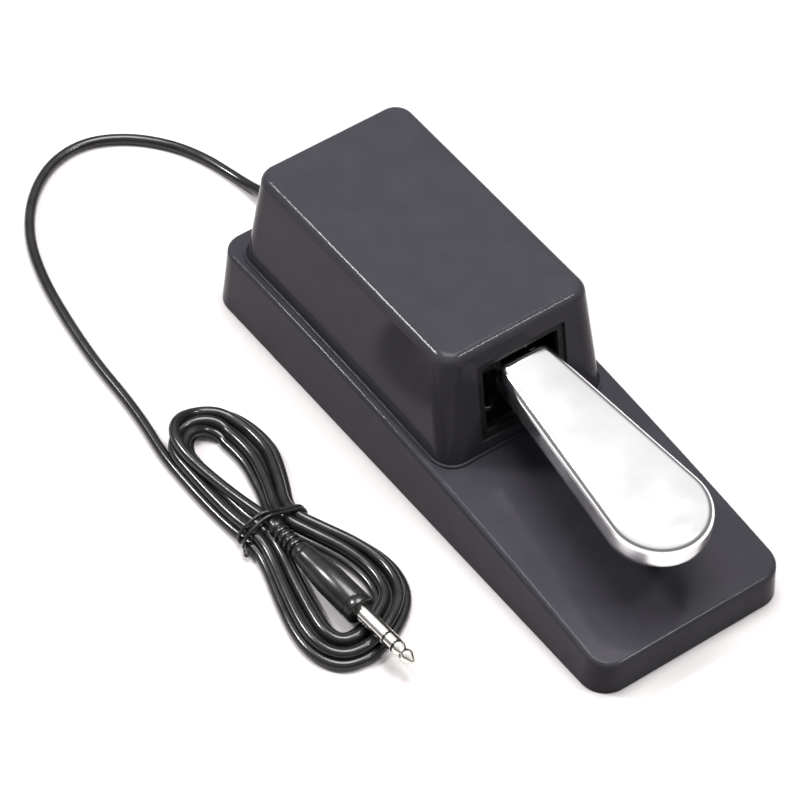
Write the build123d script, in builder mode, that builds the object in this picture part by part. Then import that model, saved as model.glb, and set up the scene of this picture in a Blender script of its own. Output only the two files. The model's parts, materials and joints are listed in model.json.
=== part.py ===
from build123d import *
import os
from math import asin, atan2, cos, degrees, hypot, pi, radians, sin, sqrt, tan

os.makedirs("parts", exist_ok=True)

# Sustain pedal. Millimetres, +Z up, +Y to the rear, +X to the right.
# The origin is on the floor under the middle of the base; the foot lever points to -Y.

# ---- Driving dimensions: base ----
base_length = 248.0
base_width = 90.0
base_corner = 11.0
base_draft = 3.7            # degrees that the base walls lean in
base_lift = 0.5             # gap between the wall's lower edge and the floor
base_edge_round = 2.0
wall = 2.6                  # wall of both mouldings
deck_front = 15.2           # deck height at the front edge
deck_crown = 26.4           # deck height at deck_crown_y
deck_crown_y = -8.0
deck_rear = 28.6            # deck height at the rear edge
rim_height = 0.8            # raised rim round the housing foot
rim_width = 1.1

# ---- Housing ----
housing_top = 74.7
housing_low = 20.0          # height at which the foot outline is drawn, under the deck
housing_half_width = 35.0   # at the top
housing_front = -10.3       # front edge at the top
housing_rear = 110.9        # rear edge at the top
housing_corner = 8.2
side_draft = 4.5            # degrees, sides and rear
front_draft = 11.3          # degrees, front
housing_edge_round = 4.4
opening_half_width = 20.8
opening_bottom = 30.0
opening_top = 66.0
bezel_band = 3.0
bezel_depth = 1.8
bezel_recess = 1.0

# ---- Pedal lever ----
pedal_neck_y = -11.8        # rear end of the plate
pedal_neck_z = 62.0         # top of the plate there
pedal_slope = 3.9           # degrees that the plate falls towards the tip
pedal_reach = 105.1         # from the neck end to the tip, along the plate
pedal_end_radius = 20.8
pedal_neck_half = 11.4
pedal_thickness = 11.0
pedal_skin = 2.6
pedal_edge_round = 3.6
pedal_press = 6.0           # degrees of travel
pivot_y = 66.0
pivot_z = 50.0
tang_half_width = 6.0
tang_start = -44.0
tang_bend_y = -12.0
tang_end = 92.0
eye_radius = 8.0
eye_half_width = 8.9

# ---- Mechanism ----
axle_radius = 3.0
bush_radius = 4.2
running_gap = 0.05
cheek_inner = 10.0
sheet = 2.0                 # thickness of the chassis steel
stop_pin_radius = 2.5
stop_radius = 4.5
stop_gap = 0.3
stop_y = 8.0
spring_y = 34.0
spring_radius = 6.2
spring_wire = 0.8           # wire radius
spring_turns = 9
sole_thickness = 2.0
plate_thickness = 1.5
plate_top = sole_thickness + plate_thickness
chassis_floor = plate_top + sheet

# ---- Switch ----
switch_front = 70.0
switch_length = 20.0
switch_low = 31.0
switch_height = 10.2
switch_half_width = 3.25
blade_hinge_y = 72.0
blade_hinge_z = 42.3
button_y = 77.0

# ---- Cord ----
cord_diameter = 4.3
cord_radius = cord_diameter / 2
cord_exit_y = 138.0
cord_exit_z = 8.5
hank_height = 9.4


def deck_z(y):
    """Height of the deck at y: the arc through the front, crown and rear heights."""
    front = Vector(-base_length / 2, deck_front)
    crown = Vector(deck_crown_y, deck_crown)
    rear = Vector(base_length / 2, deck_rear)
    arc = ThreePointArc(front, crown, rear)
    centre = arc.arc_center
    return centre.Y + sqrt(arc.radius ** 2 - (y - centre.X) ** 2)


def wedge(inset, lowered, start):
    """The base's outer block, drawn in by inset, with its deck lowered."""
    half = base_length / 2
    with BuildPart() as block:
        with BuildSketch(Plane.XY.offset(start)):
            RectangleRounded(base_width - 2 * inset, base_length - 2 * inset, base_corner - inset)
        extrude(amount=deck_rear + 12, taper=base_draft)
        with BuildSketch(Plane.YZ):
            with BuildLine():
                ThreePointArc(
                    (-half, deck_front - lowered),
                    (deck_crown_y, deck_crown - lowered),
                    (half, deck_rear - lowered),
                )
                Polyline(
                    (half, deck_rear - lowered), (half, start - 1),
                    (-half, start - 1), (-half, deck_front - lowered),
                )
            make_face()
        extrude(amount=base_width, both=True, mode=Mode.INTERSECT)
    return block.part


def housing_outline(height, inset):
    """Half width, front and rear of the housing at a height, drawn in by inset."""
    drop = housing_top - height
    half = housing_half_width + drop * tan(radians(side_draft)) - inset
    front = housing_front - drop * tan(radians(front_draft)) + inset
    rear = housing_rear + drop * tan(radians(side_draft)) - inset
    return half, front, rear


def housing_block(inset, top):
    """The housing's drafted block between its foot and a top height."""
    with BuildPart() as block:
        for height in (housing_low, top):
            half, front, rear = housing_outline(height, inset)
            level = Plane(origin=(0, (front + rear) / 2, height))
            with BuildSketch(level):
                RectangleRounded(2 * half, rear - front, housing_corner - inset)
        loft(ruled=True)
    return block.part


def screw(length, radius, head_radius, head_height, recess):
    """A cross-recessed screw: head above z = 0, shank below it."""
    with BuildPart() as body:
        Cylinder(head_radius, head_height, align=(Align.CENTER, Align.CENTER, Align.MIN))
        fillet(body.edges().group_by(Axis.Z)[-1], head_height * 0.45)
        Cylinder(radius, length, align=(Align.CENTER, Align.CENTER, Align.MAX))
        chamfer(body.edges().group_by(Axis.Z)[0], radius * 0.4)
        with BuildSketch(Plane.XY.offset(head_height)):
            Rectangle(recess, recess * 0.28)
            Rectangle(recess * 0.28, recess)
        extrude(amount=-head_height * 0.6, mode=Mode.SUBTRACT)
    return body.part


def tube_path(points):
    """Straight runs joined by arcs, each as large as its two runs allow, and its radii."""
    spots = [Vector(*point) for point in points]
    radii = []
    for before, at, after in zip(spots, spots[1:], spots[2:]):
        run_in = at - before
        run_out = after - at
        turn = run_in.get_angle(run_out)
        radii.append(0.45 * min(run_in.length, run_out.length) / tan(radians(turn / 2)))
    return spots, radii


def tube(points, radius):
    """A round tube along straight runs joined by tangent arcs."""
    spots, radii = tube_path(points)
    with BuildPart() as body:
        with BuildLine():
            path = FilletPolyline(*spots, radius=radii)
        start = Plane(origin=path @ 0, z_dir=path % 0)
        with BuildSketch(start):
            Circle(radius)
        sweep(path=path)
    return body.part, path.length, radii


def finish(part, name):
    """Label a finished piece and write its file."""
    part.label = name
    export_step(part, f"parts/{name}.step")


# ---- Base shell: a wedge, hollow below, with bosses and a hole for the mechanism ----
plate_screw_spots = [(x * side, y) for side in (-1, 1) for x, y in ((34, -112), (36, -34), (34, 113))]
housing_screw_spots = [(30 * side, y) for side in (-1, 1) for y in (-6, 100)]
boss_radius = 4.0
pilot_radius = 1.5            # the screws cut their own thread in it
foot_half, foot_front, foot_rear = housing_outline(deck_z(40), 0)
foot_front = housing_outline(deck_z(-20), 0)[1]
rim_gap = 0.4
deck_hole_width = 46.0
deck_hole_length = 110.0
deck_hole_y = 45.0
screw_hole_radius = 1.7
cord_hole_radius = 4.0

with BuildPart() as boss_posts:
    with BuildSketch(Plane.XY.offset(plate_top)):
        with Locations(*plate_screw_spots):
            Circle(boss_radius)
    extrude(amount=deck_rear)
    add(wedge(wall / 2, wall / 2, 0), mode=Mode.INTERSECT)

with BuildPart() as foot_rim:
    rim_centre = (foot_front + foot_rear) / 2
    with BuildSketch(Plane(origin=(0, rim_centre, housing_low))):
        span = rim_gap + rim_width
        RectangleRounded(2 * (foot_half + span), foot_rear - foot_front + 2 * span, housing_corner + span)
        RectangleRounded(
            2 * (foot_half + rim_gap), foot_rear - foot_front + 2 * rim_gap, housing_corner + rim_gap,
            mode=Mode.SUBTRACT,
        )
    extrude(amount=deck_rear)
    add(wedge(0, -rim_height, 0), mode=Mode.INTERSECT)

outer_base = wedge(0, 0, base_lift)
with BuildPart() as base_shell:
    add(outer_base)
    fillet(base_shell.faces().sort_by(Axis.Z)[-1].edges(), base_edge_round)
    add(foot_rim.part)
    add(wedge(wall, wall, base_lift), mode=Mode.SUBTRACT)
    add(boss_posts.part)
    with Locations(*[(x, y, plate_top) for x, y in plate_screw_spots]):
        Cylinder(pilot_radius, 10, align=(Align.CENTER, Align.CENTER, Align.MIN), mode=Mode.SUBTRACT)
    with BuildSketch(Plane.XY.offset(housing_low - 3)):
        with Locations((0, deck_hole_y)):
            RectangleRounded(deck_hole_width, deck_hole_length, 4)
        with Locations(*housing_screw_spots):
            Circle(screw_hole_radius)
    extrude(amount=15, mode=Mode.SUBTRACT)
    with Locations((0, base_length / 2 - 3, cord_exit_z)):
        Cylinder(cord_hole_radius, 12, rotation=(90, 0, 0), mode=Mode.SUBTRACT)
finish(base_shell.part, "base_shell")

# ---- Housing cover ----
face_point = (0, housing_outline(46, 0)[1], 46)
face_plane = Plane(
    origin=face_point, x_dir=(1, 0, 0),
    z_dir=(0, -cos(radians(front_draft)), sin(radians(front_draft))),
)
opening_low = (opening_bottom - 46) / cos(radians(front_draft))
opening_high = (opening_top - 46) / cos(radians(front_draft))
opening_middle = (opening_low + opening_high) / 2
opening_height = opening_high - opening_low
housing_boss_top = 46.0

with BuildPart() as housing_bosses:
    with BuildSketch(Plane.XY.offset(housing_low)):
        with Locations(*housing_screw_spots):
            Circle(boss_radius)
        with Locations(*[(34 * x / abs(x), y) for x, y in housing_screw_spots]):
            Rectangle(7, 1.8)
    extrude(amount=housing_boss_top - housing_low)
    add(housing_block(wall / 2, housing_top - wall), mode=Mode.INTERSECT)

with BuildPart() as housing_cover:
    add(housing_block(0, housing_top))
    fillet(housing_cover.faces().sort_by(Axis.Z)[-1].edges(), housing_edge_round)
    add(housing_block(wall, housing_top - wall), mode=Mode.SUBTRACT)
    add(housing_bosses.part)
    with Locations(*[(x, y, housing_low) for x, y in housing_screw_spots]):
        Cylinder(pilot_radius, 22, align=(Align.CENTER, Align.CENTER, Align.MIN), mode=Mode.SUBTRACT)
    with BuildSketch(face_plane):
        with Locations((0, opening_middle)):
            RectangleRounded(2 * opening_half_width, opening_height, 1.2)
    extrude(amount=6, both=True, mode=Mode.SUBTRACT)
    add(wedge(-6, 0, -1), mode=Mode.SUBTRACT)
finish(housing_cover.part, "housing_cover")

with BuildPart() as opening_bezel:
    with BuildSketch(face_plane.offset(-bezel_recess)):
        with Locations((0, opening_middle)):
            RectangleRounded(2 * opening_half_width, opening_height, 1.2)
            RectangleRounded(
                2 * (opening_half_width - bezel_band), opening_height - 2 * bezel_band, 0.8,
                mode=Mode.SUBTRACT,
            )
    extrude(amount=-bezel_depth)
finish(opening_bezel.part, "opening_bezel")

# ---- Underside: rubber sole, steel bottom plate and their screws ----
sole_inset = 3.0
plate_width = base_width - 2 * sole_inset
plate_length = base_length - 2 * sole_inset
plate_corner = base_corner - sole_inset
with BuildPart() as rubber_sole:
    with BuildSketch():
        RectangleRounded(plate_width, plate_length, plate_corner)
        with Locations(*plate_screw_spots):
            Circle(4.0, mode=Mode.SUBTRACT)
    extrude(amount=sole_thickness)
    groove_spots = [(0, -110 + 10 * step) for step in range(23)]
    with BuildSketch():
        with Locations(*groove_spots):
            Rectangle(54, 1.2)
    extrude(amount=0.7, mode=Mode.SUBTRACT)
finish(rubber_sole.part, "rubber_sole")

chassis_rivet_spots = [(6.0 * side, y) for side in (-1, 1) for y in (12, 58)]
bracket_rivet_spots = [(7.4, 73.0), (7.4, 87.0)]
with BuildPart() as bottom_plate:
    with BuildSketch(Plane.XY.offset(sole_thickness)):
        RectangleRounded(plate_width, plate_length, plate_corner)
        with Locations(*plate_screw_spots):
            Circle(screw_hole_radius, mode=Mode.SUBTRACT)
        with Locations(*chassis_rivet_spots):
            Circle(2.0, mode=Mode.SUBTRACT)
        with Locations((10, 112)):
            Circle(1.3, mode=Mode.SUBTRACT)
    extrude(amount=plate_thickness)
finish(bottom_plate.part, "bottom_plate")

plate_screw = screw(9, pilot_radius, 3.0, 1.6, 3.2)
with BuildPart() as bottom_plate_screws:
    for x, y in plate_screw_spots:
        with Locations(Plane(origin=(x, y, sole_thickness), z_dir=(0, 0, -1))):
            add(plate_screw)
finish(bottom_plate_screws.part, "bottom_plate_screws")

housing_screw = screw(14, pilot_radius, 2.8, 2.0, 3.0)
with BuildPart() as housing_screws:
    for x, y in housing_screw_spots:
        seat = deck_z(y) - wall - 0.35
        with Locations(Plane(origin=(x, y, seat), z_dir=(0, 0, -1))):
            add(housing_screw)
finish(housing_screws.part, "housing_screws")

# ---- Pedal lever: keyhole plate, hollow below, on a tang with an eye for the axle ----
slope = radians(pedal_slope)
pedal_plane = Plane(
    origin=(0, pedal_neck_y, pedal_neck_z), x_dir=(1, 0, 0), z_dir=(0, -sin(slope), cos(slope)),
)
neck_run = pedal_reach - pedal_end_radius
neck_span = hypot(pedal_neck_half, neck_run)
swell = asin(pedal_end_radius / neck_span) - atan2(pedal_neck_half, neck_run)  # angle of the sides


def pedal_block(inset, top, thickness):
    """The keyhole plate: a round end, and straight sides that draw in to the neck."""
    radius = pedal_end_radius - inset
    centre = (0, -neck_run)
    join = (radius * cos(swell), radius * sin(swell) - neck_run)
    neck = ((radius - (neck_run - inset) * sin(swell)) / cos(swell), -inset)
    with BuildPart() as block:
        with BuildSketch(pedal_plane.offset(top)):
            with BuildLine():
                CenterArc(centre, radius, 180 - degrees(swell), 180 + 2 * degrees(swell))
                Polyline(join, neck, (-neck[0], neck[1]), (-join[0], join[1]))
            make_face()
        extrude(amount=-thickness)
    return block.part


def tang_line(y, front_height, rear_height):
    """Height of one of the tang's straight edges at y."""
    share = (y - tang_bend_y) / (tang_end - tang_bend_y)
    return front_height + share * (rear_height - front_height)


tang_nose_low, tang_nose_top = 52.5, 58.0
tang_top_front, tang_top_rear = 57.0, 54.5
tang_low_front, tang_low_rear = 50.0, 47.0
with BuildPart() as tang:
    with BuildSketch(Plane.YZ):
        with BuildLine():
            Polyline(
                (tang_start, tang_nose_low), (tang_start, tang_nose_top),
                (pedal_neck_y - 1, pedal_neck_z - 1.6), (pedal_neck_y + 1, tang_top_front),
                (tang_end, tang_top_rear), (tang_end, tang_low_rear),
                (tang_bend_y, tang_low_front), close=True,
            )
        make_face()
    extrude(amount=tang_half_width, both=True)
    fillet(tang.edges().filter_by(Axis.Y, tolerance=12).group_by(Axis.Z)[-1], 0.8)
    with Locations((0, pivot_y, pivot_z)):
        Cylinder(eye_radius, 2 * eye_half_width, rotation=(0, 90, 0))

with BuildPart() as pedal:
    add(pedal_block(0, 0, pedal_thickness))
    fillet(pedal.faces().sort_by(Axis.Z)[-1].edges(), pedal_edge_round)
    add(pedal_block(pedal_skin, -pedal_skin, pedal_thickness), mode=Mode.SUBTRACT)
    add(tang.part)
    with Locations((0, spring_y, tang_line(spring_y, tang_low_front, tang_low_rear) + 1)):
        Cylinder(4.0, 6, align=(Align.CENTER, Align.CENTER, Align.MAX))
    with Locations((0, pivot_y, pivot_z)):
        Cylinder(bush_radius, 30, rotation=(0, 90, 0), mode=Mode.SUBTRACT)
finish(pedal.part, "pedal")

flange_thickness = 0.8
bush_length = 7.5
with BuildPart() as pedal_bushes:
    for side in (-1, 1):
        outward = Plane(origin=(side * eye_half_width, pivot_y, pivot_z), z_dir=(side, 0, 0))
        with BuildSketch(outward):
            Circle(5.8)
        extrude(amount=flange_thickness)
        with BuildSketch(outward):
            Circle(bush_radius)
        extrude(amount=-bush_length)
    with Locations((0, pivot_y, pivot_z)):
        Cylinder(axle_radius + running_gap, 30, rotation=(0, 90, 0), mode=Mode.SUBTRACT)
finish(pedal_bushes.part, "pedal_bushes")

# ---- Chassis: pressed U bracket with two cheeks ----
cheek_outer = cheek_inner + sheet
chassis_front, chassis_rear = -2.0, 96.0
press = radians(pedal_press)
stop_rise = stop_radius + stop_gap
upper_stop_z = tang_line(stop_y, tang_top_front, tang_top_rear) + stop_rise
rest_dy = stop_y - pivot_y
rest_dz = tang_line(stop_y, tang_low_front, tang_low_rear) - pivot_z
pressed_z = pivot_z + rest_dy * sin(press) + rest_dz * cos(press)
lower_stop_z = pressed_z - stop_rise
stop_heights = (upper_stop_z, lower_stop_z)

with BuildPart() as chassis:
    with BuildSketch(Plane.YZ):
        with BuildLine():
            Polyline(
                (chassis_front, plate_top), (chassis_rear, plate_top), (chassis_rear, 28), (78, 59),
                (54, 61), (16, 67), (1, 67), (chassis_front, 60), close=True,
            )
        make_face()
    extrude(amount=cheek_outer, both=True)
    with BuildSketch(Plane.XZ.offset(-chassis_front + 1)):
        with Locations((0, chassis_floor)):
            Rectangle(2 * cheek_inner, 80, align=(Align.CENTER, Align.MIN))
    extrude(amount=-(chassis_rear - chassis_front + 2), mode=Mode.SUBTRACT)
    with Locations((0, pivot_y, pivot_z)):
        Cylinder(axle_radius, 40, rotation=(0, 90, 0), mode=Mode.SUBTRACT)
    with Locations(*[(0, stop_y, z) for z in stop_heights]):
        Cylinder(stop_pin_radius, 40, rotation=(0, 90, 0), mode=Mode.SUBTRACT)
    with Locations(*[(x, y, chassis_floor) for x, y in chassis_rivet_spots]):
        Cylinder(2.0, 8, mode=Mode.SUBTRACT)
    with Locations(*[(x, y, chassis_floor) for x, y in bracket_rivet_spots]):
        Cylinder(1.5, 8, mode=Mode.SUBTRACT)
    with BuildSketch(Plane.YZ):
        with Locations((34, 26)):
            SlotOverall(22, 12)
    extrude(amount=cheek_outer + 1, both=True, mode=Mode.SUBTRACT)
finish(chassis.part, "chassis")

with BuildPart() as chassis_rivets:
    for x, y in chassis_rivet_spots:
        with Locations((x, y, chassis_floor)):
            Cylinder(3.4, 1.2, align=(Align.CENTER, Align.CENTER, Align.MIN))
            Cylinder(2.0, chassis_floor - sole_thickness, align=(Align.CENTER, Align.CENTER, Align.MAX))
    fillet(chassis_rivets.edges().group_by(Axis.Z)[-1], 0.9)
finish(chassis_rivets.part, "chassis_rivets")

# ---- Axle and its clips ----
axle_half = 15.0
clip_thickness = 0.8
clip_gap = 0.15
groove_depth = 0.6
with BuildPart() as axle:
    with Locations((0, pivot_y, pivot_z)):
        Cylinder(axle_radius, 2 * axle_half, rotation=(0, 90, 0))
    chamfer(axle.edges().filter_by(GeomType.CIRCLE), 0.4)
    for side in (-1, 1):
        groove_x = side * (cheek_outer + clip_gap + clip_thickness / 2)
        with BuildSketch(Plane(origin=(groove_x, pivot_y, pivot_z), z_dir=(1, 0, 0))):
            Circle(axle_radius + 1)
            Circle(axle_radius - groove_depth, mode=Mode.SUBTRACT)
        extrude(amount=clip_thickness / 2, both=True, mode=Mode.SUBTRACT)
finish(axle.part, "axle")

with BuildPart() as axle_clips:
    for side in (-1, 1):
        clip_x = side * (cheek_outer + clip_gap + clip_thickness / 2)
        with BuildSketch(Plane(origin=(clip_x, pivot_y, pivot_z), x_dir=(0, 1, 0), z_dir=(1, 0, 0))):
            Circle(5.6)
            Circle(axle_radius + 0.8, mode=Mode.SUBTRACT)
            with PolarLocations(axle_radius + 0.2, 3, start_angle=90):
                Rectangle(1.8, 2.4)
            with Locations((0, -5)):
                Rectangle(4.4, 6, mode=Mode.SUBTRACT)
            Circle(axle_radius - groove_depth, mode=Mode.SUBTRACT)
        extrude(amount=clip_thickness / 2 - 0.02, both=True)
finish(axle_clips.part, "axle_clips")

# ---- End stops: two pins with rubber sleeves ----
with BuildPart() as stop_pins:
    with Locations(*[(0, stop_y, z) for z in stop_heights]):
        Cylinder(stop_pin_radius, 2 * cheek_outer + 3, rotation=(0, 90, 0))
    chamfer(stop_pins.edges().filter_by(GeomType.CIRCLE), 0.5)
finish(stop_pins.part, "stop_pins")

with BuildPart() as stop_sleeves:
    with Locations(*[(0, stop_y, z) for z in stop_heights]):
        Cylinder(stop_radius, 2 * cheek_inner - 0.6, rotation=(0, 90, 0))
        Cylinder(stop_pin_radius, 2 * cheek_outer, rotation=(0, 90, 0), mode=Mode.SUBTRACT)
finish(stop_sleeves.part, "stop_sleeves")

# ---- Return spring on its seat ----
seat_top = chassis_floor + 2.0
spring_top = tang_line(spring_y + spring_radius + 1, tang_low_front, tang_low_rear) - 0.2
with BuildPart() as spring_seat:
    with Locations((0, spring_y, chassis_floor)):
        Cylinder(9.0, 2.0, align=(Align.CENTER, Align.CENTER, Align.MIN))
        Cylinder(4.8, 8.0, align=(Align.CENTER, Align.CENTER, Align.MIN))
    chamfer(spring_seat.edges().group_by(Axis.Z)[-1], 0.8)
finish(spring_seat.part, "spring_seat")

coil_height = spring_top - seat_top - 2 * spring_wire
with BuildPart() as return_spring:
    with BuildLine():
        coil = Helix(
            pitch=coil_height / spring_turns, height=coil_height, radius=spring_radius,
            center=(0, spring_y, seat_top + spring_wire),
        )
    with BuildSketch(Plane(origin=coil @ 0, z_dir=coil % 0)):
        Circle(spring_wire)
    sweep(path=coil, is_frenet=True)
    with Locations((0, spring_y, seat_top + spring_wire), (0, spring_y, spring_top - spring_wire)):
        Torus(spring_radius, spring_wire)
finish(return_spring.part, "return_spring")

# ---- Changeover switch on its bracket, under the lever's tail ----
switch_top = switch_low + switch_height
switch_middle = switch_front + switch_length / 2
bracket_side = switch_half_width + 0.05
bracket_sheet = 1.5
switch_hole_spots = [(switch_middle - 4.75, 33.6), (switch_middle + 4.75, 33.6)]
with BuildPart() as switch_bracket:
    with BuildSketch(Plane.YZ.offset(bracket_side)):
        with Locations((switch_middle, chassis_floor)):
            Rectangle(24, 34, align=(Align.CENTER, Align.MIN))
        with Locations(*switch_hole_spots):
            Circle(1.2, mode=Mode.SUBTRACT)
    extrude(amount=bracket_sheet)
    with BuildSketch(Plane.XY.offset(chassis_floor)):
        with Locations((bracket_side, switch_middle)):
            Rectangle(cheek_inner - 0.3 - bracket_side, 24, align=(Align.MIN, Align.CENTER))
        with Locations(*bracket_rivet_spots):
            Circle(1.5, mode=Mode.SUBTRACT)
    extrude(amount=bracket_sheet)
finish(switch_bracket.part, "switch_bracket")

bracket_rivet_top = chassis_floor + bracket_sheet
with BuildPart() as switch_bracket_rivets:
    for x, y in bracket_rivet_spots:
        with Locations((x, y, bracket_rivet_top)):
            Cylinder(2.2, 0.9, align=(Align.CENTER, Align.CENTER, Align.MIN))
            Cylinder(1.5, bracket_rivet_top - plate_top, align=(Align.CENTER, Align.CENTER, Align.MAX))
    fillet(switch_bracket_rivets.edges().group_by(Axis.Z)[-1], 0.6)
finish(switch_bracket_rivets.part, "switch_bracket_rivets")

button_width, button_length = 2.4, 2.8
with BuildPart() as switch_body:
    with BuildSketch(Plane.XY.offset(switch_low)):
        with Locations((0, switch_middle)):
            RectangleRounded(2 * switch_half_width, switch_length, 0.6)
    extrude(amount=switch_height)
    chamfer(switch_body.faces().sort_by(Axis.Z)[-1].edges(), 0.3)
    with BuildSketch(Plane.XY.offset(switch_top)):
        with Locations((0, button_y)):
            Rectangle(button_width + 0.3, button_length + 0.3)
    extrude(amount=-5, mode=Mode.SUBTRACT)
    with Locations(*[(0, y, z) for y, z in switch_hole_spots]):
        Cylinder(1.2, 20, rotation=(0, 90, 0), mode=Mode.SUBTRACT)
    with BuildSketch(Plane.YZ):
        with Locations((blade_hinge_y, switch_top)):
            Rectangle(1.6, 2.4, align=(Align.CENTER, Align.MIN))
    extrude(amount=2.9, both=True)
    with BuildSketch(Plane.YZ):
        with Locations((blade_hinge_y + 0.4, switch_top)):
            Rectangle(3.2, 2.6, align=(Align.CENTER, Align.MIN))
    extrude(amount=2.2, both=True, mode=Mode.SUBTRACT)
finish(switch_body.part, "switch_body")

terminal_length = 4.5
terminal_spots = [switch_middle - 7.4, switch_middle, switch_middle + 7.4]
with BuildPart() as switch_terminals:
    for y in terminal_spots:
        with BuildSketch(Plane.XZ.offset(-y)):
            with Locations((0, switch_low - terminal_length)):
                RectangleRounded(3.2, terminal_length, 0.5, align=(Align.CENTER, Align.MIN))
        extrude(amount=0.3, both=True)
finish(switch_terminals.part, "switch_terminals")

switch_screw = screw(11.0, 1.2, 2.1, 1.5, 2.2)
with BuildPart() as switch_screws:
    for y, z in switch_hole_spots:
        with Locations(Plane(origin=(-switch_half_width - 0.05, y, z), z_dir=(-1, 0, 0))):
            add(switch_screw)
finish(switch_screws.part, "switch_screws")

with BuildPart() as switch_nuts:
    for y, z in switch_hole_spots:
        with BuildSketch(Plane(origin=(bracket_side + bracket_sheet, y, z), z_dir=(1, 0, 0))):
            RegularPolygon(2.5, 6)
            Circle(1.2, mode=Mode.SUBTRACT)
        extrude(amount=1.6)
finish(switch_nuts.part, "switch_nuts")

blade_half_width = 1.9
blade_sheet = 0.5
blade_kink_y = 80.5
blade_tip_y, blade_tip_z = 89.4, 46.2
with BuildPart() as switch_blade:
    with BuildSketch(Plane.YZ):
        with BuildLine():
            Polyline(
                (blade_hinge_y, blade_hinge_z), (blade_kink_y, blade_hinge_z), (blade_tip_y, blade_tip_z),
                (blade_tip_y + 1.4, blade_tip_z - 0.9),
            )
            offset(amount=blade_sheet / 2, side=Side.BOTH)
        make_face()
    extrude(amount=blade_half_width, both=True)
    with Locations((0, blade_hinge_y, blade_hinge_z)):
        Cylinder(0.6, 2 * blade_half_width, rotation=(0, 90, 0))
finish(switch_blade.part, "switch_blade")

button_top = blade_hinge_z - blade_sheet / 2 - 0.12
with BuildPart() as switch_button:
    with BuildSketch(Plane.XY.offset(button_top)):
        with Locations((0, button_y)):
            RectangleRounded(button_width, button_length, 0.4)
    extrude(amount=-4.2)
    fillet(switch_button.edges().group_by(Axis.Z)[-1], 0.3)
finish(switch_button.part, "switch_button")

# ---- The cord's end inside the base: jacket, three leads, clamp and strain relief ----
jacket_end = 104.0
with BuildPart() as cord_inner:
    with BuildSketch(Plane(origin=(0, jacket_end, cord_exit_z), z_dir=(0, 1, 0))):
        Circle(cord_radius)
    extrude(amount=cord_exit_y - jacket_end)
finish(cord_inner.part, "cord_inner")

lead_radius = 0.6
lead_names = ("lead_open", "lead_common", "lead_closed")
for name, side, terminal_y in zip(lead_names, (-1, 0, 1), terminal_spots):
    lead_x = 1.3 * side
    lead_route = [
        (lead_x, jacket_end, cord_exit_z),
        (lead_x, jacket_end - 5, cord_exit_z),
        (lead_x, terminal_y + 4, cord_exit_z + 3.5),
        (lead_x, terminal_y, switch_low - terminal_length - 6),
        (lead_x, terminal_y, switch_low - terminal_length),
    ]
    lead, lead_length, lead_radii = tube(lead_route, lead_radius)
    finish(lead, name)

clamp_y = 112.0
clamp_half = 4.0
with BuildPart() as cord_clamp:
    with BuildSketch(Plane.XZ.offset(-clamp_y)):
        with BuildLine():
            Polyline(
                (-5.5, plate_top), (14, plate_top), (14, plate_top + 2.5), (5.5, plate_top + 2.5),
                (5.5, 12), (4, 13.5), (-4, 13.5), (-5.5, 12), close=True,
            )
        make_face()
        with Locations((0, cord_exit_z)):
            Circle(cord_radius, mode=Mode.SUBTRACT)
    extrude(amount=clamp_half, both=True)
    with Locations((10, clamp_y, plate_top)):
        Cylinder(1.3, 12, mode=Mode.SUBTRACT)
finish(cord_clamp.part, "cord_clamp")

clamp_screw = screw(4.0, 1.3, 2.5, 1.8, 2.6)
with BuildPart() as cord_clamp_screw:
    with Locations((10, clamp_y, plate_top + 2.5)):
        add(clamp_screw)
finish(cord_clamp_screw.part, "cord_clamp_screw")

wall_out = base_length / 2 - cord_exit_z * tan(radians(base_draft))
wall_in = wall_out - wall
grommet_end = cord_exit_y
with BuildPart() as cord_grommet:
    with BuildSketch(Plane.YZ.offset(0)):
        with BuildLine():
            Polyline(
                (wall_in - 2.2, cord_exit_z), (wall_in - 2.2, cord_exit_z + 4.7),
                (wall_in - 0.5, cord_exit_z + 4.7), (wall_in - 0.5, cord_exit_z + 4.0),
                (wall_out + 0.5, cord_exit_z + 4.0), (wall_out + 0.5, cord_exit_z + 5.2),
                (wall_out + 2.6, cord_exit_z + 5.2), (wall_out + 2.6, cord_exit_z + 4.4),
                (grommet_end, cord_exit_z + 3.1), (grommet_end, cord_exit_z), close=True,
            )
        make_face()
    revolve(axis=Axis((0, 0, cord_exit_z), (0, 1, 0)))
    for step in range(3):
        rib_y = wall_out + 5.0 + 2.8 * step
        with BuildSketch(Plane(origin=(0, rib_y, cord_exit_z), z_dir=(0, 1, 0))):
            Circle(6)
            Circle(3.3, mode=Mode.SUBTRACT)
        extrude(amount=1.1, mode=Mode.SUBTRACT)
    with BuildSketch(Plane(origin=(0, wall_in - 3, cord_exit_z), z_dir=(0, 1, 0))):
        Circle(cord_radius)
    extrude(amount=30, mode=Mode.SUBTRACT)
finish(cord_grommet.part, "cord_grommet")

# ---- The cord's free stretch ----
cord_route = [
    (0, cord_exit_y, cord_exit_z), (0, 144, cord_exit_z), (-0.3, 152, 6.2), (-1.1, 161, 3.2),
    (-2.8, 171, 2.15), (-6.2, 184, 2.2),
    (-13, 198, 2.15), (-25.5, 211.5, 2.2), (-42, 219.5, 2.15), (-60, 217, 2.2), (-77, 205, 2.15),
    (-89.5, 187.5, 2.2), (-97, 166, 2.15), (-101.5, 142, 2.2), (-104.5, 118, 2.15), (-105.3, 96, 2.2),
    (-106.0, 80, 2.3), (-106.6, 70, 2.6),
]
cord, cord_length, cord_radii = tube(cord_route, cord_radius)
finish(cord, "cord")
print("cord length", round(cord_length, 1), "radii", [round(radius, 1) for radius in cord_radii])
print("cord volume over section times length", round(cord.volume / (pi * cord_radius ** 2 * cord_length), 4))

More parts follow.
